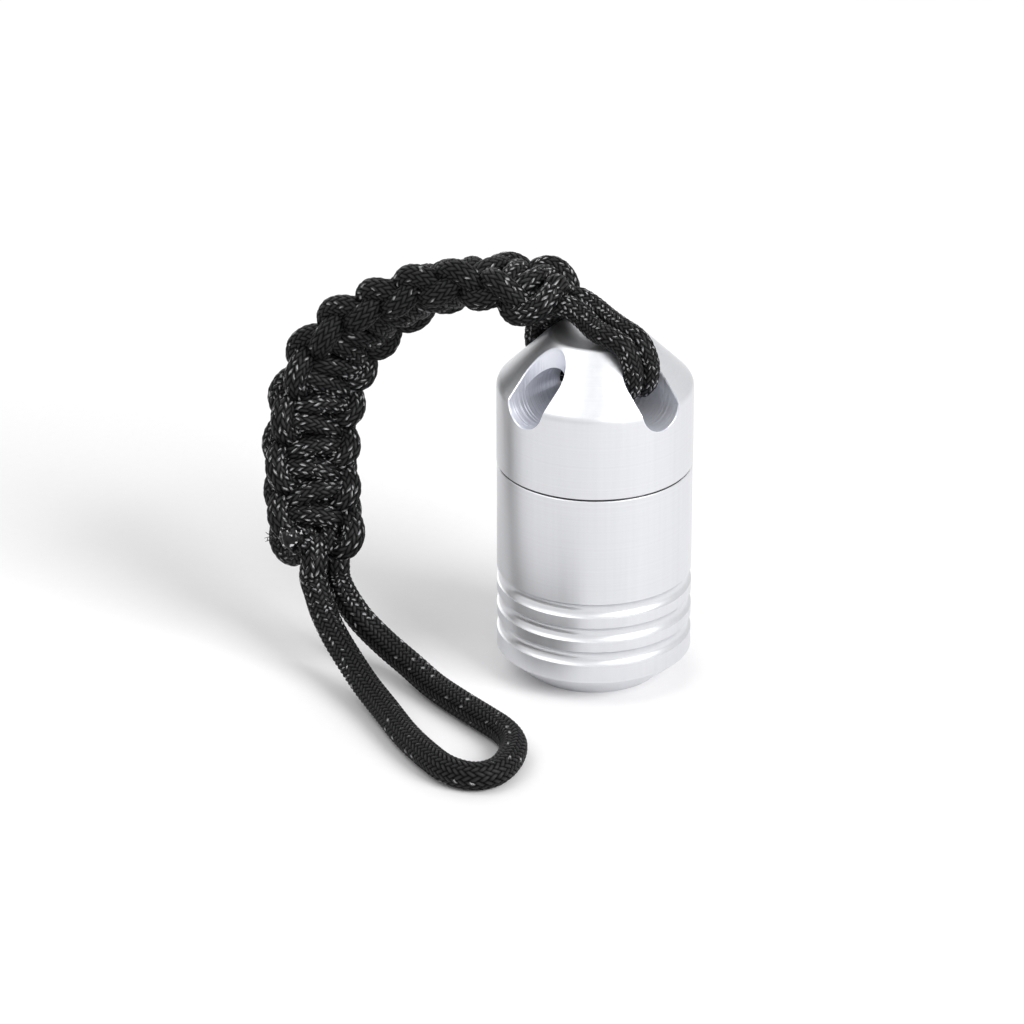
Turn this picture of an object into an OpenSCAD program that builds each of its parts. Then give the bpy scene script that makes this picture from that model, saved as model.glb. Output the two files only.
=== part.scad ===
// Waterproof capsule: a turned aluminium tube and screw cap with a knotted cord lanyard.
// Millimetres, +Z up. The origin is the centre of the foot that the capsule stands on.
// The viewer of the usual picture looks along +Y, so the front of the capsule faces -Y.

/* [Body] */
// Outer diameter of the body
body_d = 25.9; // [25:0.1:27]
// Height of the seam where the cap meets the body
seam_z = 30; // [27:0.5:36]
// Thickness of the tube's wall between its outside and the storage bore
wall_t = 4.7; // [4.6:0.05:5]
// Thickness of the floor under the storage bore
floor_t = 3.6; // [3:0.1:6]
// Width of the bevel round the foot
foot_bevel_w = 3.7; // [2.5:0.1:4.5]
// Height of the bevel round the foot
foot_bevel_h = 3.4; // [2.5:0.1:4.5]
// Small bevel that breaks each sharp turned edge
edge_break = 0.2; // [0.1:0.05:0.3]

/* [Grip grooves] */
// Number of grip grooves
groove_count = 3; // [1:1:4]
// Width of one groove at the surface
groove_w = 2.1; // [1.5:0.1:2.5]
// Depth of one groove
groove_depth = 0.6; // [0.3:0.1:0.7]
// Distance from one groove to the next
groove_pitch = 3.5; // [3:0.1:4]
// Height of the lowest groove's centre line
first_groove_z = 6.9; // [6.5:0.1:8]

/* [Neck and thread] */
// Height of the neck above the seam
neck_h = 6.5; // [6.5:0.1:8]
// Wall between the storage bore and the root of the thread
neck_wall = 1.55; // [1.45:0.05:1.8]
// Height of the thread ridge above its root
thread_depth = 0.7; // [0.5:0.05:0.8]
// Rise of the thread in one turn
thread_pitch = 1.25; // [1.2:0.05:1.5]
// Width of the ridge at its root
ridge_root_w = 0.8; // [0.6:0.05:0.85]
// Width of the ridge at its crest
ridge_crest_w = 0.26; // [0.2:0.02:0.4]
// Radial gap between each crest and the root that it faces
thread_gap = 0.2; // [0.15:0.05:0.3]
// Turns of thread on the neck
neck_turns = 2.1; // [1.5:0.1:2.2]
// Turns of thread in the cap
cap_turns = 2.2; // [1.5:0.1:2.3]

/* [Seal] */
// Thickness of the sealing ring's round section
ring_section = 1.5; // [1.3:0.1:1.5]
// Width of the groove that holds the ring
gland_w = 2; // [1.9:0.1:2.2]
// Height of the land between the seam and the ring groove
gland_land = 0.6; // [0.4:0.1:0.8]
// Running gap between the ring and the metal
ring_gap = 0.05; // [0.03:0.01:0.1]

/* [Cap] */
// How far the cap's side stands proud of the body's
cap_step = 0.05; // [0:0.05:0.2]
// Height of the cap's straight side above the seam
cap_side_h = 11.4; // [11:0.1:13]
// Width of the cone in plan, from the side to the edge of the flat top
cone_w = 7; // [6:0.1:7.5]
// Rise of the cone from the side to the flat top
cone_h = 7; // [6:0.1:8]
// Radius that rounds the edge between the side and the cone
shoulder_r = 1.6; // [0.5:0.1:2]
// Radius that rounds the edge of the flat top
top_edge_r = 1; // [0.5:0.1:1.5]
// Room above the neck inside the cap
neck_headroom = 0.5; // [0.3:0.1:0.8]
// Gap at the seam that shows as a fine dark line
seam_gap = 0.05; // [0.02:0.01:0.1]

/* [Cord slots] */
// Number of slots round the cap; they lie in opposite pairs
slot_count = 4; // [2:2:4]
// Width of a slot, and diameter of the bore that joins an opposite pair
slot_w = 6.6; // [6.5:0.1:7]
// Height of the bore's axis above the seam
slot_axis_h = 11.8; // [11.6:0.1:12]
// Distance from the cap's side in to the centre of a slot's round inner end
slot_reach = 3.2; // [3:0.1:3.5]
// Angle of the slot that takes the cord, from +X towards -Y
slot_angle = 47.6; // [47.6:0.1:47.6]

/* [Lanyard] */
// Diameter of the lanyard cord
cord_d = 3.8; // [3.5:0.1:4]
// Diameter of a strand drawn tight in the knots
knotted_d = 3.2; // [3:0.1:3.4]
// Diameter of a strand where two squeeze through a slot
squeezed_d = 2.9; // [2.7:0.05:2.9]
// Distance between two strands side by side in a slot
strand_gap = 2.94; // [2.94:0.01:3]
// Width of the knotted band across its side loops
band_w = 12.8; // [12:0.1:13.6]
// Thickness of the knotted band over the strands that cross its faces
band_t = 6.6; // [6.4:0.1:7.4]
// Number of half knots in the band
half_knots = 20; // [16:1:22]
// Length of a melted cord end
melted_l = 2.4; // [2:0.1:3]

/* [Hidden] */

// Overrun of every cut
cut = 1;
// Facets of a turned surface, of a small round section and of a cord's end
round_fn = 96;
section_fn = 48;
end_fn = 24;
// Steps in the arc of a rounded edge
edge_steps = 6;

body_r = body_d / 2;
cap_r = body_r + cap_step;
bore_r = body_r - wall_t;
cap_top_r = cap_r - cone_w;
slot_inner_r = cap_r - slot_reach;
foot_r = body_r - foot_bevel_w;
groove_r = (groove_w * groove_w / 4 + groove_depth * groove_depth) / (2 * groove_depth);

root_r = bore_r + neck_wall;
crest_r = root_r + thread_depth;
cap_root_r = crest_r + thread_gap;
cap_crest_r = root_r + thread_gap;
neck_top = seam_z + neck_h;
gland_z = seam_z + gland_land;
seal_r = cap_root_r + ring_gap;
gland_r = seal_r - ring_section - 2 * ring_gap;
ring_z = gland_z + gland_w / 2;
// The land above the ring groove ends where the thread's relief begins
relief_z = gland_z + gland_w + edge_break;
thread_z = relief_z + ridge_root_w / 2 + ring_gap;
// Steps in one turn of a thread, and how deep a ridge sits in the metal that carries it
thread_steps = 32;
ridge_seat = 0.15;
// Turns over which a ridge grows from nothing at each end
ridge_fade = 0.25;
// Share of its height that a ridge starts with
ridge_start_share = 0.1;

cap_side_top = seam_z + cap_side_h;
cap_top = cap_side_top + cone_h;
// Slope of the cone, and the direction that it faces, both above level
cone_slope = atan2(cone_h, cone_w);
cone_facing = 90 - cone_slope;
cavity_top = neck_top + neck_headroom;
slot_z = seam_z + slot_axis_h;
slot_r = slot_w / 2;

// The ways of the cord through the cap: along the slot pair that it uses, and across it
out_x = cos(slot_angle);
out_y = -sin(slot_angle);
across_x = sin(slot_angle);
across_y = cos(slot_angle);

tube_sides = 8;
band_sides = 24;
rings_per_knot = 6;
strand_r = knotted_d / 2;
slot_strand_r = squeezed_d / 2;
cord_r = cord_d / 2;
// A direction that no strand starts along, from which its side directions are carried
side_hint = [0.3, 0.5, 0.8];

// Centre line of the knotted band, from the cap to the loop
band_route = [[-4.2, 2.1, 52], [-12.5, 6.5, 52.7], [-19.5, 9.5, 51], [-26.2, 12, 47.3],
              [-31.9, 13.1, 42.7], [-35.8, 12.7, 37], [-37.5, 10.6, 30.4],
              [-37.7, 7.2, 23.6], [-36.6, 2.4, 14.2]];
// Turn of the band's width in plan at each of those points, in degrees from +X
band_turns = [42, 46, 60, 42, 28, 26, 20, 10, 0];
// How far the band's width dips below level there, in degrees
band_dips = [0, 8, 22, 14, 6, 0, 0, 0, 0];

// Way of a working strand through one half knot, whose pitch is knot_way_pitch: along the band,
// across it, and out of its face. It crosses the front, turns round the core strands, hooks
// under the other strand and comes back to the front. The other strand's way is this one
// turned half round about the band's length.
knot_way = [[-0.4, 0.2, 2.6], [-0.5, 2, 2.5], [-0.5, 3.8, 1.8], [-0.3, 5.3, 0.9],
            [0.5, 6.3, -0.4], [1.8, 7, -1.6], [3.4, 7.1, -2.4], [4.9, 6.2, -2.2],
            [5.5, 4.8, -1.2], [4.8, 4, 0.3], [4.1, 3.2, 1.8], [3.6, 1.6, 2.5]];
knot_way_pitch = 3.6;
// How far that way goes across the band and out of its face
knot_way_w = 7.1;
knot_way_t = 2.6;
// How far the core strands fill the hollow between them, as a share of a strand's radius
core_fill_share = 0.75;
// Half knots that the way reaches past each end, and the room that its strands need there
knots_before = 0.14;
knots_after = 0.53;
end_room_share = 0.6;
across_share = (band_w / 2 - strand_r) / knot_way_w;
out_share = (band_t / 2 - strand_r) / knot_way_t;

// Centre line of the loop, which lies on the floor at its tip
loop_route = [[-37.3, 1, 14.4], [-37.5, 0.9, 12.2], [-36.9, -0.2, 10.5], [-36, -2, 8.3],
              [-34.4, -4.8, 6.1], [-32.4, -8.3, 4.3], [-30.2, -12.7, 3], [-27.6, -18, 2.2],
              [-25, -24.2, 1.9], [-22.3, -29.6, 1.9], [-19.3, -34.1, 1.9], [-15.9, -36, 1.9],
              [-13, -34.8, 1.9], [-11.2, -31.1, 1.9], [-10.8, -27.3, 1.9], [-11.9, -23.8, 1.9],
              [-14.2, -20.5, 1.9], [-17.4, -16.3, 1.9], [-21.1, -11.2, 2], [-24.4, -6.6, 2.8],
              [-27.9, -3.2, 4.4], [-31, -1.1, 6.8], [-33.2, 1.4, 9], [-34.4, 3.2, 11],
              [-34.5, 3.6, 13.4]];

// Centres of the two melted ends, and how far they tip from upright to face the knot
left_melted_place = [-40.4, 1.3, 17.8];
right_melted_place = [-35.3, 6.2, 15.1];
band_end_tilt = 63;

// Ways of a strand from the cap's axis out of a slot and over the rim: distance out, height
core_way = [[0.2, 41.8], [4.4, 41.8], [6.8, 42.3], [8.2, 43.4], [8.6, 45], [8.5, 46.5]];
working_way = [[0.2, 41.8], [5.4, 41.8], [8, 42.1], [9.4, 43.3], [9.8, 45], [9.5, 46.7],
               [8.6, 48.2]];
// Last points of each core strand, over the rim and into the end of the knotted band
left_core_end = [[4, -7, 48.6], [3, -6.5, 49.6], [1.4, -5.4, 50.1], [-0.1, -3.3, 50.1],
                 [-1.5, -1.5, 50.9], [-3.2, -0.2, 51.8], [-4.7, 0.6, 51.9]];
right_core_end = [[6, -5.1, 48.7], [5, -4.3, 49.6], [3.6, -3, 50], [1.8, -0.8, 50.4],
                  [0, 1.2, 51.1], [-1.8, 2.6, 51.8], [-3.3, 3.4, 51.9]];

// Points of an arc of radius r round a centre, from one direction to another
function arc(centre, r, from, to) =
    [for (i = [0 : edge_steps])
         let (a = from + (to - from) * i / edge_steps) centre + r * [cos(a), sin(a)]];

// Unit vector along v
function unit(v) = v / norm(v);

// Points along a smooth curve that passes through every route point: step runs from 0 to 1
function spline_at(p, s) =
    let (n = len(p) - 1,
         i = min(floor(s * n), n - 1),
         t = s * n - i,
         a = p[max(i - 1, 0)], b = p[i], c = p[i + 1], d = p[min(i + 2, n)])
    ((2 * b) + (c - a) * t + (2 * a - 5 * b + 4 * c - d) * t * t
     + (3 * b - a - 3 * c + d) * t * t * t) / 2;

// Direction of a line of points at point i
function heading(p, i) = unit(p[min(i + 1, len(p) - 1)] - p[max(i - 1, 0)]);

// A side direction carried along a line of points without twisting
function sides_along(p) =
    [for (i = 0, h = heading(p, 0), s = unit(cross(h, side_hint));
          i < len(p);
          i = i + 1, h = heading(p, min(i, len(p) - 1)), s = unit(s - h * (s * h))) s];

// Distance walked along a line of points up to each of them
function walked(p) =
    [for (i = 0, d = 0; i < len(p);
          d = d + (i + 1 < len(p) ? norm(p[i + 1] - p[i]) : 0), i = i + 1) d];

// Skin over rings that all have the same number of points
module skin(rings) {
    n = len(rings[0]);
    last = len(rings) - 1;
    points = [for (ring = rings) each ring];
    walls = [for (i = [0 : last - 1], j = [0 : n - 1])
                each [[i * n + j, (i + 1) * n + j, i * n + (j + 1) % n],
                      [i * n + (j + 1) % n, (i + 1) * n + j, (i + 1) * n + (j + 1) % n]]];
    ends = [[for (j = [0 : n - 1]) j], [for (j = [n - 1 : -1 : 0]) last * n + j]];
    polyhedron(points, concat(walls, ends));
}

// Round tube of radius r along points p
module tube(p, r) {
    sides = sides_along(p);
    skin([for (i = [0 : len(p) - 1])
              let (h = heading(p, i), s = sides[i], u = cross(h, s))
              [for (j = [0 : tube_sides - 1])
                   p[i] + r * (s * cos(360 * j / tube_sides) + u * sin(360 * j / tube_sides))]]);
}

// Helical ridge: base and tip are radii, and start_z is the height of its centre at angle 0
module thread_ridge(base, tip, turns, start_z) {
    steps = round(turns * thread_steps);
    skin([for (i = [0 : steps])
              let (turn = i / thread_steps,
                   grow = min(1, turn / ridge_fade, (steps - i) / thread_steps / ridge_fade),
                   height_share = ridge_start_share + (1 - ridge_start_share) * grow,
                   end_r = base + (tip - base) * height_share,
                   side = tip > base ? -1 : 1,
                   root_half = side * ridge_root_w / 2,
                   crest_half = root_half + (side * ridge_crest_w / 2 - root_half) * grow,
                   z = start_z + thread_pitch * turn,
                   way = [cos(360 * turn), sin(360 * turn), 0])
              [way * base + [0, 0, z - root_half], way * end_r + [0, 0, z - crest_half],
               way * end_r + [0, 0, z + crest_half], way * base + [0, 0, z + root_half]]]);
}

// Profile of the body, half of it, before its bore and thread
module body_profile() {
    difference() {
        polygon([[0, 0], [foot_r - edge_break, 0], [foot_r, edge_break],
                 [body_r, foot_bevel_h], [body_r, seam_z - edge_break],
                 [body_r - edge_break, seam_z], [crest_r, seam_z],
                 [crest_r, gland_z], [gland_r, gland_z], [gland_r, gland_z + gland_w],
                 [crest_r, gland_z + gland_w], [crest_r, relief_z],
                 [root_r, relief_z], [root_r, neck_top - edge_break],
                 [root_r - edge_break, neck_top], [0, neck_top]]);
        for (i = [0 : groove_count - 1])
            translate([body_r - groove_depth + groove_r, first_groove_z + i * groove_pitch])
                circle(r = groove_r, $fn = section_fn);
    }
}

module body() {
    color("gainsboro") {
        difference() {
            union() {
                rotate_extrude($fn = round_fn) body_profile();
                thread_ridge(root_r - ridge_seat, crest_r, neck_turns, thread_z);
            }
            translate([0, 0, floor_t])
                cylinder(h = neck_top, r = bore_r, $fn = round_fn);
            translate([0, 0, neck_top - edge_break])
                cylinder(h = edge_break + cut, r1 = bore_r, r2 = bore_r + edge_break + cut,
                         $fn = round_fn);
        }
    }
}

// One slot that opens upwards and outwards, and its half of the bore below
module cord_slot() {
    rotate([0, 90, 0])
        cylinder(h = cap_r + cut, r = slot_r, $fn = round_fn);
    translate([slot_inner_r, 0, 0])
        cylinder(h = cap_top, r = slot_r, $fn = round_fn);
    translate([slot_inner_r, -slot_r, 0])
        cube([cap_r, slot_w, cap_top]);
}

module cap() {
    color("gainsboro") {
        difference() {
            rotate_extrude($fn = round_fn) cap_profile();
            cap_cavity();
            for (i = [0 : slot_count - 1])
                translate([0, 0, slot_z])
                    rotate([0, 0, 360 * i / slot_count - slot_angle])
                        cord_slot();
        }
        thread_ridge(cap_root_r + ridge_seat, cap_crest_r, cap_turns,
                     thread_z + thread_pitch / 2);
    }
}

// Profile of the cap, half of it, before its cavity and slots
module cap_profile() {
    shoulder_drop = shoulder_r * tan(cone_facing / 2);
    top_inset = top_edge_r * tan(cone_slope / 2);
    polygon(concat(
        [[0, seam_z + seam_gap], [cap_r - edge_break, seam_z + seam_gap],
         [cap_r, seam_z + seam_gap + edge_break]],
        arc([cap_r - shoulder_r, cap_side_top - shoulder_drop], shoulder_r, 0, cone_facing),
        arc([cap_top_r - top_inset, cap_top - top_edge_r], top_edge_r, cone_facing, 90),
        [[0, cap_top]]));
}

// Room inside the cap: a sealing land at the mouth, then the thread's root
module cap_cavity() {
    rotate_extrude($fn = round_fn)
        polygon([[0, seam_z - cut], [seal_r + edge_break, seam_z - cut],
                 [seal_r + edge_break, seam_z + seam_gap],
                 [seal_r, seam_z + seam_gap + edge_break], [seal_r, relief_z],
                 [cap_root_r, relief_z], [cap_root_r, cavity_top], [0, cavity_top]]);
}

module o_ring() {
    color("dimgray")
        translate([0, 0, ring_z])
            rotate_extrude($fn = round_fn)
                translate([gland_r + ring_gap + ring_section / 2, 0])
                    circle(d = ring_section, $fn = section_fn);
}

// A way of a strand beside the cord's middle line: side is 1 or -1, and turn faces the slot
function strand_points(way, side, out) =
    [for (w = way)
         [out * out_x * w[0] + side * across_x * strand_gap / 2,
          out * out_y * w[0] + side * across_y * strand_gap / 2, w[1]]];

module cord_strand(points) {
    color("black") tube(points, slot_strand_r);
}

module left_core_strand() cord_strand(concat(strand_points(core_way, -1, 1), left_core_end));

module right_core_strand() cord_strand(concat(strand_points(core_way, 1, 1), right_core_end));

module left_working_strand() cord_strand(strand_points(working_way, -1, -1));

module right_working_strand() cord_strand(strand_points(working_way, 1, -1));

module lanyard_loop() {
    color("black") tube(loop_route, cord_r);
}

// Centres of both working strands through all the half knots: along, across and out, in the
// band's own frame, with the distance along in half knots
knot_centres =
    [for (k = [0 : half_knots - 1], q = knot_way, turn = [1, -1])
         [k + q[0] / knot_way_pitch, turn * (1 - 2 * (k % 2)) * q[1] * across_share,
          turn * q[2] * out_share]];

// How far a strand's round outline reaches from the band's middle line in direction [c, s],
// where the strand's centre is at [w, t] and d along the band from the section
function reach(w, t, d, c, s) =
    let (b = w * c + t * s, e = b * b - w * w - t * t - d * d + strand_r * strand_r)
    e < 0 ? 0 : b + sqrt(e);

// The band's section at x half knots: its core strands and what is knotted round them
function band_section(x, pitch) =
    let (near = [for (p = knot_centres) if (abs(p[0] - x) * pitch < strand_r) p])
    [for (j = [0 : band_sides - 1])
         let (c = cos(360 * j / band_sides), s = sin(360 * j / band_sides),
              cores = [for (side = [-1, 1]) reach(side * strand_r, 0, 0, c, s)],
              knotted = [for (p = near) reach(p[1], p[2], (p[0] - x) * pitch, c, s)],
              far = max(concat([core_fill_share * strand_r], cores, knotted)))
         [far * c, far * s]];

module knotted_band() {
    steps = half_knots * rings_per_knot;
    line = [for (i = [0 : steps]) spline_at(band_route, i / steps)];
    turns = [for (i = [0 : steps]) spline_at(band_turns, i / steps)];
    dips = [for (i = [0 : steps]) spline_at(band_dips, i / steps)];
    walk = walked(line);
    pitch = (walk[steps] - 2 * end_room_share * strand_r)
            / (half_knots + knots_before + knots_after);
    color("black")
        skin([for (i = [0 : steps])
                  let (h = heading(line, i),
                       flat = [cos(turns[i]) * cos(dips[i]), sin(turns[i]) * cos(dips[i]),
                               -sin(dips[i])],
                       w = unit(flat - h * (flat * h)), t = cross(h, w),
                       x = (walk[i] - end_room_share * strand_r) / pitch - knots_before)
                  [for (q = band_section(x, pitch)) line[i] + w * q[0] + t * q[1]]]);
}

// Melted end of a working strand, half sunk in the last knot
module melted_end(place, tilt) {
    color("black")
        translate(place)
            rotate([tilt, 0, 0])
                cylinder(h = melted_l, r = strand_r, center = true, $fn = end_fn);
}

module left_melted_end() melted_end(left_melted_place, band_end_tilt);

module right_melted_end() melted_end(right_melted_place, band_end_tilt);

body();
cap();
o_ring();
lanyard_loop();
knotted_band();
left_core_strand();
right_core_strand();
left_working_strand();
right_working_strand();
left_melted_end();
right_melted_end();
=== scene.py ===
"""Looks of the waterproof capsule: satin aluminium tube and cap, and a knotted cord lanyard.

Metres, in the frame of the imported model: +Z up, the foot's centre at the origin, the viewer at -Y.
"""
import math

import bpy
import numpy as np
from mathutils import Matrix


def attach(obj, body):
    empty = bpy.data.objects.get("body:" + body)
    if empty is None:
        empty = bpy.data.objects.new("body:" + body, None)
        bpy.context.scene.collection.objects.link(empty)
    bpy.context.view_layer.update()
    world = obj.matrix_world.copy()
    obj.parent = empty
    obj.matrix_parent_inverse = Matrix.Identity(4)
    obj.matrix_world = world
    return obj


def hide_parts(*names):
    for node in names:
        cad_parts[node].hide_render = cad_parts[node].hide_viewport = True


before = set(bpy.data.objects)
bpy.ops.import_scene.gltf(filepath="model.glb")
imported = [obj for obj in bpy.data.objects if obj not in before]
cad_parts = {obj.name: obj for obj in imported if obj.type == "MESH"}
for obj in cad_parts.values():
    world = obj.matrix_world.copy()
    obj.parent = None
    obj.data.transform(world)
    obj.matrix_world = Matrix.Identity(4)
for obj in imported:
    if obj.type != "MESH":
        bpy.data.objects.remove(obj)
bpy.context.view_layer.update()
MM = 0.001

# Camera

FOCAL_PX, FRAME_PX = 5880.0, 1024.0     # focal length and picture width, in the photo's pixels
SENSOR_W = 36.0
PITCH = math.radians(25.63)
AIM = np.array([-10.93, 0.0, 22.27]) * MM
AWAY = 780 * MM

cam = bpy.data.objects.new("camera", bpy.data.cameras.new("camera"))
bpy.context.scene.collection.objects.link(cam)
cam.data.sensor_fit = "HORIZONTAL"
cam.data.sensor_width = SENSOR_W
cam.data.lens = FOCAL_PX / FRAME_PX * SENSOR_W
cam.data.clip_start, cam.data.clip_end = 0.05, 20.0
cam.location = AIM + AWAY * np.array([0.0, -math.cos(PITCH), math.sin(PITCH)])
cam.rotation_euler = (math.pi / 2 - PITCH, 0.0, 0.0)
bpy.context.scene.camera = cam

# Colour and nodes


def linear(code):
    """sRGB hex to linear RGBA: the sRGB curve undone channel by channel."""
    c = [int(code[i:i + 2], 16) / 255 for i in (1, 3, 5)]
    return [v / 12.92 if v <= 0.04045 else ((v + 0.055) / 1.055) ** 2.4 for v in c] + [1.0]


def put(tree, name, kind, sockets=None, **settings):
    """Add a named node with its settings.

    Each socket gets a value, or the name of the node that feeds it from its first live output;
    after a colon comes the name of another output.
    """
    node = tree.nodes.new("ShaderNode" + kind)
    node.name = name
    for key, value in settings.items():
        setattr(node, key, value)
    for key, value in (sockets or {}).items():
        if isinstance(value, str):
            source, _, which = value.partition(":")
            outputs = tree.nodes[source].outputs
            output = outputs[which] if which else next(o for o in outputs if o.enabled)
            tree.links.new(output, node.inputs[key])
        else:
            node.inputs[key].default_value = value


def material(name):
    """A new material and its empty node tree."""
    m = bpy.data.materials.new(name)
    m.use_nodes = True
    m.node_tree.nodes.clear()
    return m, m.node_tree


# Cord ways (mm)

BAND_WAY = [[-4.2, 2.1, 52], [-12.5, 6.5, 52.7], [-19.5, 9.5, 51], [-26.2, 12, 47.3],
            [-31.9, 13.1, 42.7], [-35.8, 12.7, 37], [-37.5, 10.6, 30.4], [-37.7, 7.2, 23.6],
            [-36.6, 2.4, 14.2]]
BAND_TURNS = [42, 46, 60, 42, 28, 26, 20, 10, 0]
BAND_DIPS = [0, 8, 22, 14, 6, 0, 0, 0, 0]
LOOP_WAY = [[-37.3, 1, 14.4], [-37.5, 0.9, 12.2], [-36.9, -0.2, 10.5], [-36, -2, 8.3],
            [-34.4, -4.8, 6.1], [-32.4, -8.3, 4.3], [-30.2, -12.7, 3], [-27.6, -18, 2.2],
            [-25, -24.2, 1.9], [-22.3, -29.6, 1.9], [-19.3, -34.1, 1.9], [-15.9, -36, 1.9],
            [-13, -34.8, 1.9], [-11.2, -31.1, 1.9], [-10.8, -27.3, 1.9], [-11.9, -23.8, 1.9],
            [-14.2, -20.5, 1.9], [-17.4, -16.3, 1.9], [-21.1, -11.2, 2], [-24.4, -6.6, 2.8],
            [-27.9, -3.2, 4.4], [-31, -1.1, 6.8], [-33.2, 1.4, 9], [-34.4, 3.2, 11],
            [-34.5, 3.6, 13.4]]
CORE_WAY = [[0.2, 41.8], [4.4, 41.8], [6.8, 42.3], [8.2, 43.4], [8.6, 45], [8.5, 46.5]]
WORKING_WAY = [[0.2, 41.8], [5.4, 41.8], [8, 42.1], [9.4, 43.3], [9.8, 45], [9.5, 46.7],
               [8.6, 48.2]]
CORE_END = {"left": [[4, -7, 48.6], [3, -6.5, 49.6], [1.4, -5.4, 50.1], [-0.1, -3.3, 50.1],
                     [-1.5, -1.5, 50.9], [-3.2, -0.2, 51.8], [-4.7, 0.6, 51.9]],
            "right": [[6, -5.1, 48.7], [5, -4.3, 49.6], [3.6, -3, 50], [1.8, -0.8, 50.4],
                      [0, 1.2, 51.1], [-1.8, 2.6, 51.8], [-3.3, 3.4, 51.9]]}
MELTED = {"left": [-40.4, 1.3, 17.8], "right": [-35.3, 6.2, 15.1]}
LOOP_ROOTS = [-37.4, 3.4, 16.9], [-34.9, 5, 15.9]   # its two ends, 3 mm inside the last knot
SLOT_ANGLE = math.radians(47.6)
STRAND_GAP = 2.94
CORD_D, KNOTTED_D, SLOT_D = 3.8, 3.2, 2.9           # free, in the knots and squeezed in a slot
HALF_KNOTS = 20

# Way of a working strand through one half knot, in its own frame: along the band, across it,
# and out of its face. It crosses the front from the left, turns round the right-hand side of the
# core strands, hooks under the other strand and comes back to the front.
HALF_KNOT = [[-0.4, 0.2, 2.6], [-0.5, 2, 2.5], [-0.5, 3.8, 1.8], [-0.3, 5.3, 0.9],
             [0.5, 6.3, -0.4], [1.8, 7, -1.6], [3.4, 7.1, -2.4], [4.9, 6.2, -2.2],
             [5.5, 4.8, -1.2], [4.8, 4, 0.3], [4.1, 3.2, 1.8], [3.6, 1.6, 2.5]]
HALF_KNOT_PITCH, HALF_KNOT_W, HALF_KNOT_T = 3.6, 7.1, 2.6
BAND_W, BAND_T = 12.8, 6.6
ACROSS_SHARE = (BAND_W / 2 - KNOTTED_D / 2) / HALF_KNOT_W
OUT_SHARE = (BAND_T / 2 - KNOTTED_D / 2) / HALF_KNOT_T
KNOTS_BEFORE, KNOTS_IN_ALL = 0.14, HALF_KNOTS + 0.67    # with the bends past the end knots
END_ROOM = 0.6 * KNOTTED_D / 2


def through(points, n):
    """n points evenly spaced along a smooth curve through the given points (Catmull-Rom)."""
    p = np.asarray(points, float)
    k = len(p) - 1
    s = np.linspace(0, k, k * 40 + 1)
    i = np.minimum(s.astype(int), k - 1)
    t = (s - i)[:, None]
    a, b, c, d = p[np.maximum(i - 1, 0)], p[i], p[i + 1], p[np.minimum(i + 2, k)]
    q = (2 * b + (c - a) * t + (2 * a - 5 * b + 4 * c - d) * t ** 2
         + (3 * b - a - 3 * c + d) * t ** 3) / 2
    return evenly(q, n)


def evenly(q, n):
    """n points at even distances along a line of points."""
    r = np.r_[0, np.cumsum(np.linalg.norm(np.diff(q[:, :3], axis=0), axis=1))]
    return np.stack([np.interp(np.linspace(0, r[-1], n), r, q[:, j]) for j in range(q.shape[1])], 1)


def length_of(q):
    return float(np.linalg.norm(np.diff(q, axis=0), axis=1).sum())


def unit(v):
    return v / np.linalg.norm(v, axis=-1, keepdims=True)


# The band's frame at many places: centre, heading, width direction and face direction
BAND_PLACES = 400
_line = through([w + list(t) for w, t in zip(BAND_WAY, zip(BAND_TURNS, BAND_DIPS))], BAND_PLACES)
BAND_LINE = _line[:, :3]
BAND_LENGTH = length_of(BAND_LINE)
_head = unit(np.gradient(BAND_LINE, axis=0))
_turn, _dip = np.radians(_line[:, 3]), np.radians(_line[:, 4])
_flat = np.stack([np.cos(_turn) * np.cos(_dip), np.sin(_turn) * np.cos(_dip), -np.sin(_dip)], 1)
BAND_ACROSS = unit(_flat - _head * (_flat * _head).sum(1, keepdims=True))
BAND_FACE = np.cross(_head, BAND_ACROSS)


def on_band(s, w, t):
    """Points at distances s along the band, w across it and t out of its face."""
    x = s / BAND_LENGTH * (BAND_PLACES - 1)
    i = np.clip(x, 0, BAND_PLACES - 2).astype(int)
    f = (x - i)[:, None]

    def at(a):
        return a[i] * (1 - f) + a[i + 1] * f
    return at(BAND_LINE) + at(BAND_ACROSS) * w[:, None] + at(BAND_FACE) * t[:, None]


def slot_way(way, side, out):
    """A strand's way out of a slot: distance out and height, moved to one side of the middle.

    side is -1 for the left strand and 1 for the right; out is 1 for the front slot, -1 for the rear.
    """
    w = np.asarray(way, float)
    ox, oy = math.cos(SLOT_ANGLE), -math.sin(SLOT_ANGLE)
    ax, ay = math.sin(SLOT_ANGLE), math.cos(SLOT_ANGLE)
    return np.stack([out * ox * w[:, 0] + side * ax * STRAND_GAP / 2,
                     out * oy * w[:, 0] + side * ay * STRAND_GAP / 2, w[:, 1]], 1)


def knotted_way(front):
    """The way of one working strand through all half knots, as distances along, across and out.

    The other strand is the same way turned half round about the band's length.
    """
    half = np.array(HALF_KNOT)
    half *= [1 / HALF_KNOT_PITCH, ACROSS_SHARE, OUT_SHARE]
    way = np.vstack([half * [1, (-1) ** k, 1] + [k, 0, 0] for k in range(HALF_KNOTS)])[:-1]
    way[:, 0] = END_ROOM + (way[:, 0] + KNOTS_BEFORE) * (BAND_LENGTH - 2 * END_ROOM) / KNOTS_IN_ALL
    return way if front else way * [1, -1, -1]


# Braided tubes

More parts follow.
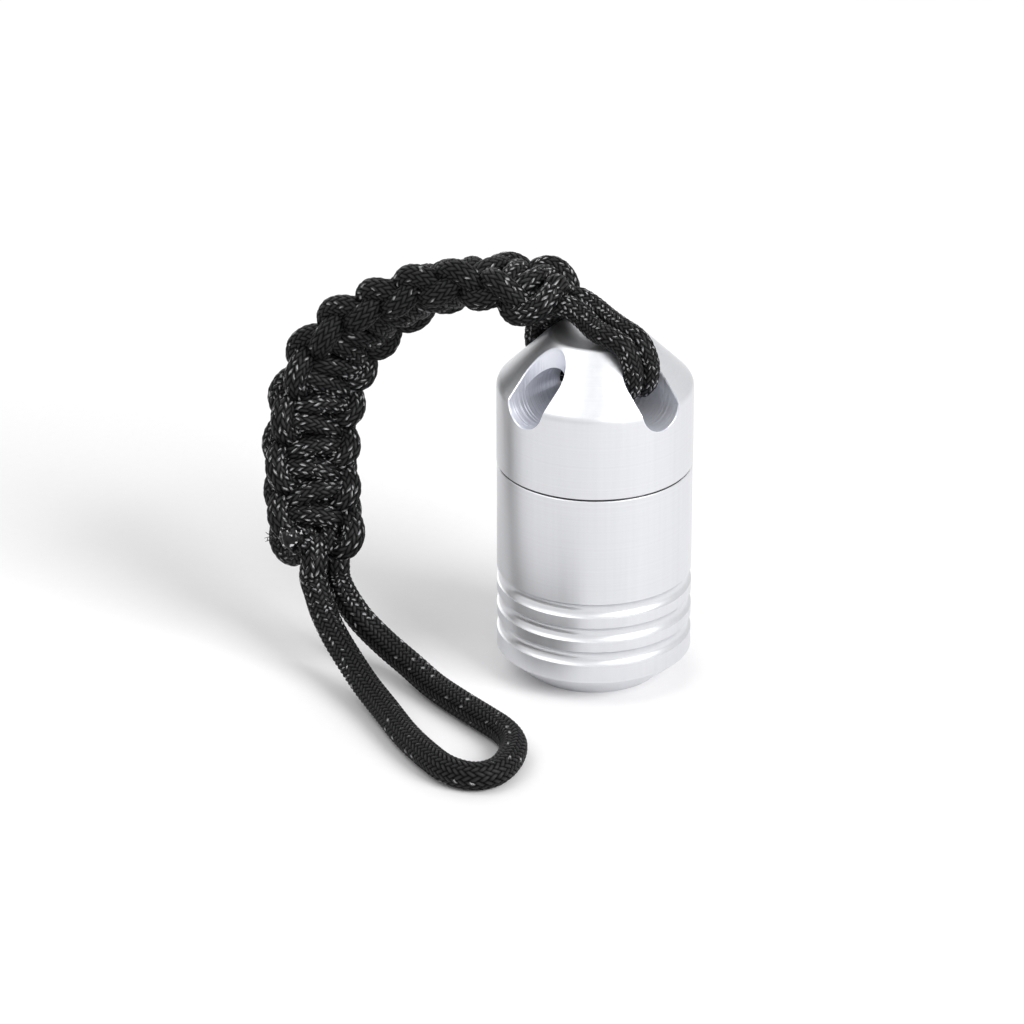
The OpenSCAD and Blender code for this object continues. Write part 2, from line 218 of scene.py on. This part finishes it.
CARRIERS = 16       # yarns that run one way round the sheath, and as many the other way
STITCH = 0.8        # mm along the cord from one yarn to the next
TIGHT_STITCH = 0.9  # the same where the cord is drawn thin, which stretches its braid
RELIEF = 0.3        # mm from a yarn's crest to the groove beside it
PER_YARN = 4        # vertices across a yarn, round the cord and along it
AROUND = CARRIERS * PER_YARN
YARN_FILL = 0.96    # share of a yarn's width that its half circle spans
YARN_SAG = 0.4      # fall of a yarn towards the ends of its float, as a share of its height
UV_UNIT = 10        # mm along the cord to one unit of its UV map
SIDE_HINT = (0.3, 0.5, 0.8)


def braid_height(u, v):
    """Height, 0 to 1, of a two-over-two braid at u turns round and v stitches along.

    Two sets of yarns cross at x1 = 16u + v and x2 = 16u - v. With f = the whole parts of x1 and
    x2 added, modulo 4, the first set is on top where f is 0 or 1. The height is a half circle
    across the yarn on top, and falls by YARN_SAG times the square of the place along its float.
    """
    x1, x2 = CARRIERS * u + v, CARRIERS * u - v
    hair = 1e-6     # keeps a whole number from being rounded down
    w1, w2 = np.floor(x1 + hair), np.floor(x2 + hair)
    p1, p2 = x1 - w1, x2 - w2
    f = np.mod(w1 + w2, 4)
    first = f < 2
    across = np.where(first, p1, p2) * 2 - 1
    along = np.where(first, f + p2, f - 2 + p1) - 1
    return np.sqrt(np.clip(1 - YARN_FILL * across ** 2, 0, 1)) * (1 - YARN_SAG * along ** 2)


def carried_sides(heads):
    """A side direction carried along a line of headings without twisting."""
    sides = np.empty_like(heads)
    hint = np.array(SIDE_HINT)
    s = unit(hint - heads[0] * (hint @ heads[0]))
    for i, h in enumerate(heads):
        s = s - h * (s @ h)
        s = s / math.sqrt(s @ s)
        sides[i] = s
    return sides


def braided_tube(name, way, radius, glint, stitch=STITCH, ends=0.0):
    """A braided cord: rings of radius r along the way, each vertex raised by the braid's height.

    way is in mm. radius, and glint, which says from 0 to 1 how many of the yarns get a painted glint,
    are given for each of its points. The ends close over a length of `ends` mm, as a quarter of an
    ellipse.
    """
    total = length_of(way)
    m = int(total / stitch * PER_YARN) + 1
    line = evenly(np.column_stack([way, radius, glint]), m)
    p, r, shine = line[:, :3], line[:, 3], line[:, 4]
    heads = unit(np.gradient(p, axis=0))
    side = carried_sides(heads)
    up = np.cross(heads, side)
    v = np.linspace(0, total, m)
    if ends > 0:
        close = np.clip(np.minimum(v, total - v) / ends, 0, 1)
        r = r * np.sqrt(np.clip(1 - (1 - close) ** 2, 0.0004, 1))
    u = np.arange(AROUND) / AROUND
    h = braid_height(u[None, :], (np.arange(m) / PER_YARN)[:, None])
    rr = r[:, None] * (1 - RELIEF / (CORD_D / 2) * (1 - h))
    a = 2 * math.pi * u[None, :]
    pts = p[:, None] + (side[:, None] * np.cos(a)[..., None]
                        + up[:, None] * np.sin(a)[..., None]) * rr[..., None]
    obj = grid_mesh(name, pts * MM, np.arange(m) / PER_YARN * STITCH)
    att = obj.data.attributes.new("shine", "FLOAT", "POINT")
    values = np.repeat(shine, AROUND)
    att.data.foreach_set("value", np.r_[values, shine[0], shine[-1]].astype(np.float32))
    return obj, p * MM


def grid_mesh(name, pts, v):
    """A closed tube from rings of points: quads between rings and a fan at each end.

    Its UV map holds the turns round and v / UV_UNIT along.
    """
    m, n = pts.shape[:2]
    i, j = np.meshgrid(np.arange(m - 1), np.arange(n), indexing="ij")
    j2 = (j + 1) % n
    quads = np.stack([i * n + j, i * n + j2, (i + 1) * n + j2, (i + 1) * n + j], -1).reshape(-1, 4)
    first, last = m * n, m * n + 1
    k = np.arange(n)
    k2 = (k + 1) % n
    tris = np.vstack([np.stack([k2, k, np.full(n, first)], 1),
                      np.stack([(m - 1) * n + k, (m - 1) * n + k2, np.full(n, last)], 1)])
    verts = np.vstack([pts.reshape(-1, 3), pts[0].mean(0), pts[-1].mean(0)])
    loops = np.r_[quads.ravel(), tris.ravel()].astype(np.int32)
    starts = np.r_[np.arange(len(quads)) * 4, len(quads) * 4 + np.arange(len(tris)) * 3]
    mesh = bpy.data.meshes.new(name)
    mesh.vertices.add(len(verts))
    mesh.vertices.foreach_set("co", verts.astype(np.float32).ravel())
    mesh.loops.add(len(loops))
    mesh.loops.foreach_set("vertex_index", loops)
    mesh.polygons.add(len(starts))
    mesh.polygons.foreach_set("loop_start", starts.astype(np.int32))
    mesh.polygons.foreach_set("use_smooth", np.ones(len(starts), bool))
    mesh.update(calc_edges=True)
    uv = mesh.uv_layers.new(name="braid")
    uq = np.stack([j / n, (j + 1) / n, (j + 1) / n, j / n], -1).reshape(-1, 4)
    vq = np.stack([v[i], v[i], v[i + 1], v[i + 1]], -1).reshape(-1, 4) / UV_UNIT
    ut = np.tile(np.stack([(k + 1) / n, k / n, (k + 0.5) / n], 1), (2, 1))
    vt = np.repeat([v[0], v[-1]], n)[:, None].repeat(3, 1) / UV_UNIT
    both = np.stack([np.r_[uq.ravel(), ut.ravel()], np.r_[vq.ravel(), vt.ravel()]], 1)
    uv.data.foreach_set("uv", both.astype(np.float32).ravel())
    mesh.validate()
    obj = bpy.data.objects.new(name, mesh)
    bpy.context.scene.collection.objects.link(obj)
    return obj


# The lanyard's strands

LOOP_POINTS, CORE_POINTS, WORKING_POINTS = 500, 600, 2400
FULLEST_R = 1.64    # mm, where the knots leave a working strand the most room

loop_path = through([LOOP_ROOTS[0]] + LOOP_WAY + [LOOP_ROOTS[1]], LOOP_POINTS)
# Painted glints beside the knots, and hardly any where it lies on the floor
loop_glints = np.clip((loop_path[:, 2] - 3) / 8, 0.12, 0.9)
loop_cord, loop_rings = braided_tube("loop_sheath", loop_path, np.full(LOOP_POINTS, CORD_D / 2),
                                     loop_glints)

strands = []
for side, word in ((-1, "left"), (1, "right")):
    # Core strand: out of the front slot, over the rim, through all knots to the loop
    out = np.vstack([slot_way(CORE_WAY, side, 1), CORE_END[word]])
    s = np.linspace(1.2, BAND_LENGTH - 0.5, 30)
    knots = on_band(s, np.full(30, 1.5 * side), np.zeros(30))
    core = through(np.vstack([out, knots]), CORE_POINTS)
    # Thin in the slot, and a little thicker from 12 mm on, where nothing squeezes it
    walk = np.linspace(0, length_of(core), CORE_POINTS)
    thick = np.clip(SLOT_D / 2 + (walk - 12) / 80, SLOT_D / 2, KNOTTED_D / 2)
    obj, _ = braided_tube(f"{word}_core_sheath", core, thick, np.full(CORE_POINTS, 0.8))
    strands.append(obj)
    # Working strand: out of the rear slot, up behind the cap and through the knots
    start = slot_way(WORKING_WAY, side, -1)
    way = knotted_way(side < 0)
    q = on_band(way[:, 0], way[:, 1], way[:, 2])
    # It stops two thirds of the way into its melted end
    end = 0.35 * q[-1] + 0.65 * np.array(MELTED[word])
    full = through(np.vstack([start, q, [end]]), WORKING_POINTS)
    # Thin in the slot, and as thick as the knots let it be above
    part = np.arange(WORKING_POINTS) / WORKING_POINTS
    thick = np.clip(SLOT_D / 2 + (part - 0.02) * 14, SLOT_D / 2, FULLEST_R)
    # Many painted glints on the straight lower part and beside the cap, few over the arch
    glinting = np.clip(np.maximum((42 - full[:, 2]) / 8, (full[:, 0] + 15) / 8), 0.15, 0.9)
    obj, _ = braided_tube(f"{word}_working_sheath", full, thick, glinting, TIGHT_STITCH, ends=1.2)
    strands.append(obj)


def melted_blob(name, centre, seed):
    """A lumpy drop: a sphere whose radius swells and sinks with six waves of random direction."""
    radius, rings, around, pole = 1.6, 40, 60, 0.06
    rng = np.random.default_rng(seed)
    a = np.linspace(pole, math.pi - pole, rings)[:, None]
    b = np.linspace(0, 2 * math.pi, around, endpoint=False)[None, :]
    way = np.stack([np.sin(a) * np.cos(b), np.sin(a) * np.sin(b), np.cos(a) + 0 * b], -1)
    waves, phase = rng.normal(0, 2.6, (6, 3)), rng.uniform(0, 6.3, 6)
    swell = 1 + 0.07 * np.sin(way @ waves.T + phase).sum(-1)
    return grid_mesh(name, (np.array(centre) + way * (radius * swell)[..., None]) * MM,
                     np.linspace(0, 1, rings))


def frayed_hairs(name, root, heading, count, seed):
    """Loose filaments at a cut end: bent tubes 0.16 mm thick that spread from one root.

    A real filament is far too thin to show, so each stands for a tuft of them.
    """
    rings, sides, radius = 8, 5, 0.08
    rng = np.random.default_rng(seed)
    hairs = []
    for k in range(count):
        go = unit(np.array(heading) + rng.normal(0, 0.6, 3))
        bend = rng.normal(0, 0.45, 3)
        s = np.linspace(0, 1, rings)[:, None]
        reach = rng.uniform(0.25, 0.55)
        line = np.array(root) + rng.normal(0, 0.4, 3) + (go * s + bend * s ** 2) * reach
        heads = unit(np.gradient(line, axis=0))
        side = carried_sides(heads)
        a = np.arange(sides) / sides * 2 * math.pi
        r = radius * (1 - 0.6 * s)[..., None]
        ring = side[:, None] * np.cos(a)[:, None] + np.cross(heads, side)[:, None] * np.sin(a)[:, None]
        hairs.append(grid_mesh(f"{name}_{k}", (line[:, None] + ring * r) * MM, s[:, 0]))
    return hairs


blobs = [melted_blob("left_melted_blob", MELTED["left"], seed=3),
         melted_blob("right_melted_blob", MELTED["right"], seed=8)]
fray = frayed_hairs("frayed_hair", root=[-42.7, 1.9, 17.6], heading=[-1, -0.3, 0.1], count=16, seed=5)

# Materials

# Where the capsule's surfaces lie, in mm
OUTER_R, SKIN_R = 13.0, 12.88           # the outside, and just under it
FOOT_TOP, SLOTS_FOOT = 3.6, 37.5        # heights that the grooves, bore and thread lie between
SEAM_Z, SEAM_HALF = 30.03, 0.13
CONE_Z = 41.4                           # where the cone starts
BORE_Z, BORE_R, SLOT_IN = 41.8, 3.34, 9.8   # a slot's axis and radius, and its inner end


def aluminium():
    """Turned, bead-blasted and clear-anodised aluminium: pale, satin, with fine tool marks.

    The grooves, the slots and the thread were cut after blasting, so they are smoother and show
    the cutter's feed, and the slots are bare bright metal. All lengths are in mm, from the piece's
    own coordinates.
    """
    m, t = material("satin anodised aluminium")
    put(t, "where", "TexCoord")
    put(t, "mm", "VectorMath", {0: "where:Object", 1: (1000.0, 1000.0, 1000.0)}, operation="MULTIPLY")
    # Turned so that the slots lie along X and Y, and folded so that one stands for all four
    put(t, "turned", "Mapping", {"Vector": "mm", "Rotation": (0.0, 0.0, SLOT_ANGLE)})
    put(t, "xyz", "SeparateXYZ", {"Vector": "turned"})
    put(t, "x", "Math", {0: "xyz:X"}, operation="ABSOLUTE")
    put(t, "y", "Math", {0: "xyz:Y"}, operation="ABSOLUTE")
    put(t, "along", "Math", {0: "x", 1: "y"}, operation="MAXIMUM")
    put(t, "across", "Math", {0: "x", 1: "y"}, operation="MINIMUM")
    put(t, "plan", "CombineXYZ", {"X": "x", "Y": "y"})
    put(t, "radius", "VectorMath", {0: "plan"}, operation="LENGTH")
    # A slot is what lies within 3.3 mm of its bore's axis, or over that of its inner end
    put(t, "rise", "Math", {0: "xyz:Z", 1: BORE_Z}, operation="SUBTRACT")
    put(t, "bore_plan", "CombineXYZ", {"X": "across", "Y": "rise"})
    put(t, "bore_far", "VectorMath", {0: "bore_plan"}, operation="LENGTH")
    put(t, "in_bore", "Math", {0: "bore_far", 1: BORE_R}, operation="LESS_THAN")
    put(t, "past", "Math", {0: "along", 1: SLOT_IN}, operation="SUBTRACT")
    put(t, "short", "Math", {0: "past", 1: 0.0}, operation="MINIMUM")
    put(t, "end_plan", "CombineXYZ", {"X": "across", "Y": "short"})
    put(t, "end_far", "VectorMath", {0: "end_plan"}, operation="LENGTH")
    put(t, "in_end", "Math", {0: "end_far", 1: BORE_R}, operation="LESS_THAN")
    put(t, "upper", "Math", {0: "rise", 1: 0.0}, operation="GREATER_THAN")
    put(t, "in_wall", "Math", {0: "in_end", 1: "upper"}, operation="MULTIPLY")
    put(t, "in_slot", "Math", {0: "in_bore", 1: "in_wall"}, operation="MAXIMUM")
    # Grooves, bore, neck and thread lie inside the outer skin, between the foot and the slots
    put(t, "in_skin", "Math", {0: "radius", 1: SKIN_R}, operation="LESS_THAN")
    put(t, "over_foot", "Math", {0: "xyz:Z", 1: FOOT_TOP}, operation="GREATER_THAN")
    put(t, "under_slots", "Math", {0: "xyz:Z", 1: SLOTS_FOOT}, operation="LESS_THAN")
    put(t, "middle", "Math", {0: "over_foot", 1: "under_slots"}, operation="MULTIPLY")
    put(t, "grooved", "Math", {0: "in_skin", 1: "middle"}, operation="MULTIPLY")
    put(t, "cut", "Math", {0: "in_slot", 1: "grooved"}, operation="MAXIMUM")
    # Outer skin: streaks 0.7 mm wide up the side, and rings 0.3 mm apart, which on the real part
    # are 0.1 mm apart, too fine to show
    put(t, "long", "Mapping", {"Vector": "mm", "Scale": (1.0, 1.0, 0.03)})
    put(t, "streak", "TexNoise", {"Vector": "long", "Scale": 1.4, "Detail": 3.0})
    put(t, "ring_at", "Math", {0: "xyz:Z", 1: 2.0}, operation="MULTIPLY")
    put(t, "ring_way", "Math", {0: "ring_at", 1: "radius"}, operation="SUBTRACT")
    put(t, "ring", "TexNoise", {"W": "ring_way", "Scale": 1.6, "Detail": 3.0}, noise_dimensions="1D")
    put(t, "skin", "Mix", {"Factor": 0.45, "A": "streak", "B": "ring"})
    # Cut surfaces: the feed's lines, across the trough, up the walls and round the grooves. They are
    # drawn about 0.4 mm apart, because the real ones, under 0.1 mm apart, are too fine to show.
    put(t, "wall_way", "Math", {0: "across", 1: "in_wall"}, operation="MULTIPLY")
    put(t, "slot_way", "Math", {0: "along", 1: "wall_way"}, operation="ADD")
    put(t, "feed_way", "Mix", {"Factor": "in_slot", "A": "xyz:Z", "B": "slot_way"})
    put(t, "feed", "TexNoise", {"W": "feed_way", "Scale": 2.6, "Detail": 2.0}, noise_dimensions="1D")
    # Distance from the outer skin, where a broken edge 0.2 mm wide catches the light
    put(t, "from_side", "Math", {0: OUTER_R, 1: "radius"}, operation="SUBTRACT")
    put(t, "up_cone", "Math", {0: "xyz:Z", 1: CONE_Z}, operation="SUBTRACT")
    put(t, "cone_room", "Math", {0: "from_side", 1: "up_cone"}, operation="SUBTRACT")
    put(t, "from_cone", "Math", {0: "cone_room", 1: 0.707}, operation="MULTIPLY")
    put(t, "skin_near", "Math", {0: "from_side", 1: "from_cone"}, operation="MINIMUM")
    put(t, "edge", "MapRange", {"Value": "skin_near", "From Min": 0.02, "From Max": 0.24})
    put(t, "edge_cut", "Math", {0: "edge", 1: 1.0}, operation="SUBTRACT")
    put(t, "edge_in_slot", "Math", {0: "edge_cut", 1: "in_slot"}, operation="MULTIPLY")
    # The seam: a dark line where light doesn't reach
    put(t, "from_seam", "Math", {0: "xyz:Z", 1: SEAM_Z}, operation="SUBTRACT")
    put(t, "seam_far", "Math", {0: "from_seam"}, operation="ABSOLUTE")
    put(t, "seam", "Math", {0: "seam_far", 1: SEAM_HALF}, operation="LESS_THAN")
    put(t, "tint", "Mix", {"Factor": "skin", "A": linear("#d2d3d6"), "B": linear("#e2e3e6")},
        data_type="RGBA")
    put(t, "bare", "Mix", {"Factor": "in_slot", "A": "tint", "B": linear("#e8eaf2")}, data_type="RGBA")
    put(t, "colour", "Mix", {"Factor": "seam", "A": "bare", "B": linear("#4a4a4d")}, data_type="RGBA")
    put(t, "rough_skin", "MapRange", {"Value": "skin", "To Min": 0.33, "To Max": 0.47})
    put(t, "rough_cut", "MapRange", {"Value": "feed", "To Min": 0.26, "To Max": 0.42})
    put(t, "rough", "Mix", {"Factor": "cut", "A": "rough_skin", "B": "rough_cut"})
    put(t, "broken", "Bump", {"Height": "edge_in_slot", "Strength": 1.0, "Distance": 0.00014})
    # The marks are deepest in the slots, slight in the grooves and hardly there on the skin
    put(t, "low_skin", "Math", {0: "skin", 1: 0.1}, operation="MULTIPLY")
    put(t, "depth", "Math", {0: "in_slot", 1: 0.65, 2: 0.35}, operation="MULTIPLY_ADD")
    put(t, "cut_marks", "Math", {0: "feed", 1: "depth"}, operation="MULTIPLY")
    put(t, "height", "Mix", {"Factor": "cut", "A": "low_skin", "B": "cut_marks"})
    put(t, "marks", "Bump", {"Height": "height", "Normal": "broken", "Strength": 0.8,
                             "Distance": 0.00008})
    # The feed's fine ridges scatter part of the light in the slots, as a paler undertone
    put(t, "mirrored", "Math", {0: "in_slot", 1: -0.4, 2: 1.0}, operation="MULTIPLY_ADD")
    put(t, "metal", "BsdfPrincipled", {"Base Color": "colour", "Metallic": "mirrored",
                                       "Roughness": "rough", "Normal": "marks"})
    put(t, "out", "OutputMaterial", {"Surface": "metal"})
    return m


def nylon():
    """Braided black nylon sheath: dark satin yarns, painted shade in the grooves and painted glints on
    the yarns.
    """
    m, t = material("braided black nylon")
    put(t, "uv", "UVMap", uv_map="braid")
    put(t, "xy", "SeparateXYZ", {"Vector": "uv"})
    put(t, "turns", "Math", {0: "xy:X", 1: float(CARRIERS)}, operation="MULTIPLY")
    put(t, "stitches", "Math", {0: "xy:Y", 1: UV_UNIT / STITCH}, operation="MULTIPLY")
    # The same two sets of yarns as in braid_height
    put(t, "x1", "Math", {0: "turns", 1: "stitches"}, operation="ADD")
    put(t, "x2", "Math", {0: "turns", 1: "stitches"}, operation="SUBTRACT")
    put(t, "i1", "Math", {0: "x1"}, operation="FLOOR")
    put(t, "i2", "Math", {0: "x2"}, operation="FLOOR")
    put(t, "p1", "Math", {0: "x1"}, operation="FRACT")
    put(t, "p2", "Math", {0: "x2"}, operation="FRACT")
    put(t, "both", "Math", {0: "i1", 1: "i2"}, operation="ADD")
    put(t, "f", "Math", {0: "both", 1: 4.0}, operation="FLOORED_MODULO")
    put(t, "first", "Math", {0: "f", 1: 2.0}, operation="LESS_THAN")
    put(t, "place", "Mix", {"Factor": "first", "A": "p2", "B": "p1"})
    put(t, "across", "Math", {0: "place", 1: 0.5}, operation="SUBTRACT")
    put(t, "far_first", "Math", {0: "f", 1: "p2"}, operation="ADD")
    put(t, "far_other", "Math", {0: "f", 1: "p1"}, operation="ADD")
    put(t, "far_back", "Math", {0: "far_other", 1: 2.0}, operation="SUBTRACT")
    put(t, "far_along", "Mix", {"Factor": "first", "A": "far_back", "B": "far_first"})
    put(t, "along", "Math", {0: "far_along", 1: 1.0}, operation="SUBTRACT")
    # Each float is one yarn's stretch on top: its number picks whether it gets a painted glint
    put(t, "yarn", "Mix", {"Factor": "first", "A": "i2", "B": "i1"})
    put(t, "quarter", "Math", {0: "both", 1: 4.0}, operation="DIVIDE")
    put(t, "float_row", "Math", {0: "quarter"}, operation="FLOOR")
    put(t, "number", "CombineXYZ", {"X": "yarn", "Y": "float_row", "Z": "first"})
    put(t, "chance", "TexWhiteNoise", {"Vector": "number"}, noise_dimensions="3D")
    # Filaments: 6 in a yarn can be told apart, about 0.12 mm each
    put(t, "over_yarn", "Math", {0: "across", 1: 7.0}, operation="MULTIPLY")
    put(t, "along_yarn", "Math", {0: "along", 1: 0.9}, operation="MULTIPLY")
    put(t, "own", "Math", {0: "chance:Value", 1: 40.0}, operation="MULTIPLY")
    put(t, "grain", "CombineXYZ", {"X": "over_yarn", "Y": "along_yarn", "Z": "own"})
    put(t, "hair", "TexNoise", {"Vector": "grain", "Scale": 1.0, "Detail": 2.0})
    # Crest of the yarn: 1 along its middle, 0 in the grooves and where it dives under
    put(t, "across_2", "Math", {0: "across", 1: "across"}, operation="MULTIPLY")
    put(t, "ridge", "Math", {0: "across_2", 1: -4.0, 2: 1.0}, operation="MULTIPLY_ADD")
    put(t, "along_size", "Math", {0: "along"}, operation="ABSOLUTE")
    put(t, "along_3", "Math", {0: "along_size", 1: 3.0}, operation="POWER")
    put(t, "dive", "Math", {0: "along_3", 1: -0.85, 2: 1.0}, operation="MULTIPLY_ADD")
    put(t, "crest", "Math", {0: "ridge", 1: "dive"}, operation="MULTIPLY")
    # A painted glint lies off the middle of its float, about 0.3 by 0.6 mm
    put(t, "aside", "Math", {0: "chance:Value", 1: -1.6, 2: 0.34}, operation="MULTIPLY_ADD")
    put(t, "waver", "Math", {0: "hair", 1: 1.2, 2: -0.6}, operation="MULTIPLY_ADD")
    put(t, "off_way", "Math", {0: "aside", 1: "waver"}, operation="ADD")
    put(t, "off_patch", "Math", {0: "across", 1: "off_way"}, operation="ADD")
    put(t, "dx", "Math", {0: "off_patch", 1: 0.24}, operation="DIVIDE")
    put(t, "dy", "Math", {0: "along", 1: 0.6}, operation="DIVIDE")
    put(t, "patch_plan", "CombineXYZ", {"X": "dx", "Y": "dy"})
    put(t, "patch_far", "VectorMath", {0: "patch_plan"}, operation="LENGTH")
    put(t, "patch", "MapRange", {"Value": "patch_far", "From Min": 1.05, "From Max": 0.55})
    # The painted glints come in clusters about 3 mm across
    put(t, "where", "TexCoord")
    put(t, "cluster_noise", "TexNoise", {"Vector": "where:Object", "Scale": 330.0, "Detail": 1.0})
    put(t, "glint_clusters", "MapRange", {"Value": "cluster_noise", "From Min": 0.38, "From Max": 0.62, "To Min": 0.32,
                               "To Max": 1.0})
    put(t, "shine", "Attribute", attribute_name="shine")
    put(t, "share", "Math", {0: "shine:Fac", 1: "glint_clusters"}, operation="MULTIPLY")
    put(t, "lucky", "Math", {0: "chance:Value", 1: "share"}, operation="LESS_THAN")
    put(t, "threads", "MapRange", {"Value": "hair", "From Min": 0.36, "From Max": 0.56})
    put(t, "glinting", "Math", {0: "lucky", 1: "patch"}, operation="MULTIPLY")
    put(t, "glint", "Math", {0: "glinting", 1: "threads"}, operation="MULTIPLY")
    # Painted shade: the yarn's colour darkens from its crest into the grooves and where it dives under
    put(t, "base", "Mix", {"Factor": "crest", "A": linear("#040404"), "B": linear("#121214")},
        data_type="RGBA")
    # Painted highlight: the glinting floats turn pale grey in the colour
    put(t, "colour", "Mix", {"Factor": "glint", "A": "base", "B": linear("#b4b4b6")}, data_type="RGBA")
    put(t, "rough", "MapRange", {"Value": "hair", "To Min": 0.38, "To Max": 0.62})
    put(t, "level", "Math", {0: "crest", 1: 0.32}, operation="MULTIPLY")
    put(t, "lay", "Bump", {"Height": "hair", "Strength": 0.6, "Distance": 0.00008})
    put(t, "sheath", "BsdfPrincipled", {"Base Color": "colour", "Roughness": "rough", "IOR": 1.53,
                                        "Specular IOR Level": "level", "Normal": "lay"})
    put(t, "out", "OutputMaterial", {"Surface": "sheath"})
    return m


def melted_nylon():
    """Nylon melted by a flame and set: black, glossy and pitted, with painted highlights as pale
    spots.
    """
    m, t = material("melted black nylon")
    put(t, "where", "TexCoord")
    # Blisters about 0.6 mm across, with finer pits on them
    put(t, "blister", "TexNoise", {"Vector": "where:Object", "Scale": 1500.0, "Detail": 3.0})
    # Painted highlight: the blisters' tops turn pale, as glints
    put(t, "pale", "MapRange", {"Value": "blister", "From Min": 0.62, "From Max": 0.65})
    put(t, "colour", "Mix", {"Factor": "pale", "A": linear("#0a0a0b"), "B": linear("#d0d0d2")},
        data_type="RGBA")
    put(t, "rough", "MapRange", {"Value": "blister", "To Min": 0.1, "To Max": 0.35})
    put(t, "lumps", "Bump", {"Height": "blister", "Strength": 0.5, "Distance": 0.0003})
    put(t, "skin", "BsdfPrincipled", {"Base Color": "colour", "Roughness": "rough", "IOR": 1.53,
                                      "Specular IOR Level": 0.22, "Normal": "lumps"})
    put(t, "out", "OutputMaterial", {"Surface": "skin"})
    return m


def nitrile():
    """Moulded nitrile rubber, lightly greased: even black with a soft shine."""
    m, t = material("moulded nitrile rubber")
    put(t, "where", "TexCoord")
    # The mould's fine skin, about 0.2 mm
    put(t, "grain", "TexNoise", {"Vector": "where:Object", "Scale": 5000.0, "Detail": 2.0})
    put(t, "rough", "MapRange", {"Value": "grain", "To Min": 0.3, "To Max": 0.5})
    put(t, "skin", "Bump", {"Height": "grain", "Strength": 0.15, "Distance": 0.00003})
    put(t, "rubber", "BsdfPrincipled", {"Base Color": linear("#1a1a1a"), "IOR": 1.52,
                                        "Roughness": "rough", "Normal": "skin"})
    put(t, "out", "OutputMaterial", {"Surface": "rubber"})
    return m


def white_floor():
    """Matt white paper sweep: white to the eye, and it takes the object's soft shadow."""
    m, t = material("matt white paper")
    put(t, "where", "TexCoord")
    put(t, "fibre", "TexNoise", {"Vector": "where:Object", "Scale": 900.0, "Detail": 2.0})
    put(t, "tint", "Mix", {"Factor": "fibre", "A": linear("#f8f7f8"), "B": linear("#fafafa")},
        data_type="RGBA")
    put(t, "paper", "BsdfDiffuse", {"Color": "tint"})
    put(t, "out", "OutputMaterial", {"Surface": "paper"})
    return m


METAL, CORD, MELT, RUBBER = aluminium(), nylon(), melted_nylon(), nitrile()
for node, finish in (("body", METAL), ("cap", METAL), ("o_ring", RUBBER)):
    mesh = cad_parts[node].data
    mesh.materials.clear()
    mesh.materials.append(finish)

for obj in [loop_cord] + strands:
    obj.data.materials.append(CORD)
    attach(obj, "lid")
for obj in blobs + fray:
    obj.data.materials.append(MELT)
    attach(obj, "lid")
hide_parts("left_melted_end")
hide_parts("right_melted_end")
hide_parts("lanyard_loop")
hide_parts("left_core_strand")
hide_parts("left_working_strand", "knotted_band")
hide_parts("right_core_strand")
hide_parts("right_working_strand", "knotted_band")

# Floor and light

bpy.ops.mesh.primitive_plane_add(size=3.0, location=(0, 0, 0))
floor = bpy.context.object
floor.name = "floor"
floor.data.materials.append(white_floor())


def soft_lamp(name, place, power, size, aim=(0.0, 0.0, 0.02)):
    """A square soft lamp at place (metres) that faces aim."""
    lamp = bpy.data.lights.new(name, "AREA")
    lamp.energy, lamp.size = power, size
    obj = bpy.data.objects.new(name, lamp)
    bpy.context.scene.collection.objects.link(obj)
    obj.location = place
    d = np.array(place) - np.array(aim)
    obj.rotation_euler = (math.atan2(math.hypot(d[0], d[1]), d[2]), 0.0, math.atan2(d[0], -d[1]))
    return obj


soft_lamp("key", (0.54, -0.46, 0.50), 5.6, 0.45)
soft_lamp("front_top", (0.0, -0.42, 0.86), 0.8, 1.2)
soft_lamp("left_top", (-0.42, -0.10, 0.72), 1.2, 0.5)
soft_lamp("back", (-0.25, 0.72, 0.40), 2.0, 0.6, (-0.02, 0.14, 0.0))

world = bpy.data.worlds.new("studio")
bpy.context.scene.world = world
world.use_nodes = True
sky = world.node_tree
sky.nodes.clear()
# A pale studio: 0.47 of white on the floor and the cord, and 0.88 where metal sees it. The camera
# sees it at 1, which is white.
put(sky, "ray", "LightPath")
put(sky, "seen", "Math", {0: "ray:Is Camera Ray", 1: "ray:Is Glossy Ray"}, operation="MAXIMUM")
put(sky, "shown", "Math", {0: "seen", 1: "ray:Is Transmission Ray"}, operation="MAXIMUM")
put(sky, "lift", "Math", {0: "shown", 1: 0.41, 2: 0.47}, operation="MULTIPLY_ADD")
put(sky, "strength", "Math", {0: "ray:Is Camera Ray", 1: 0.12, 2: "lift"}, operation="MULTIPLY_ADD")
put(sky, "studio", "Background", {"Color": linear("#ffffff"), "Strength": "strength"})
put(sky, "out", "OutputWorld", {"Surface": "studio"})

bpy.context.scene.view_settings.view_transform = "Standard"
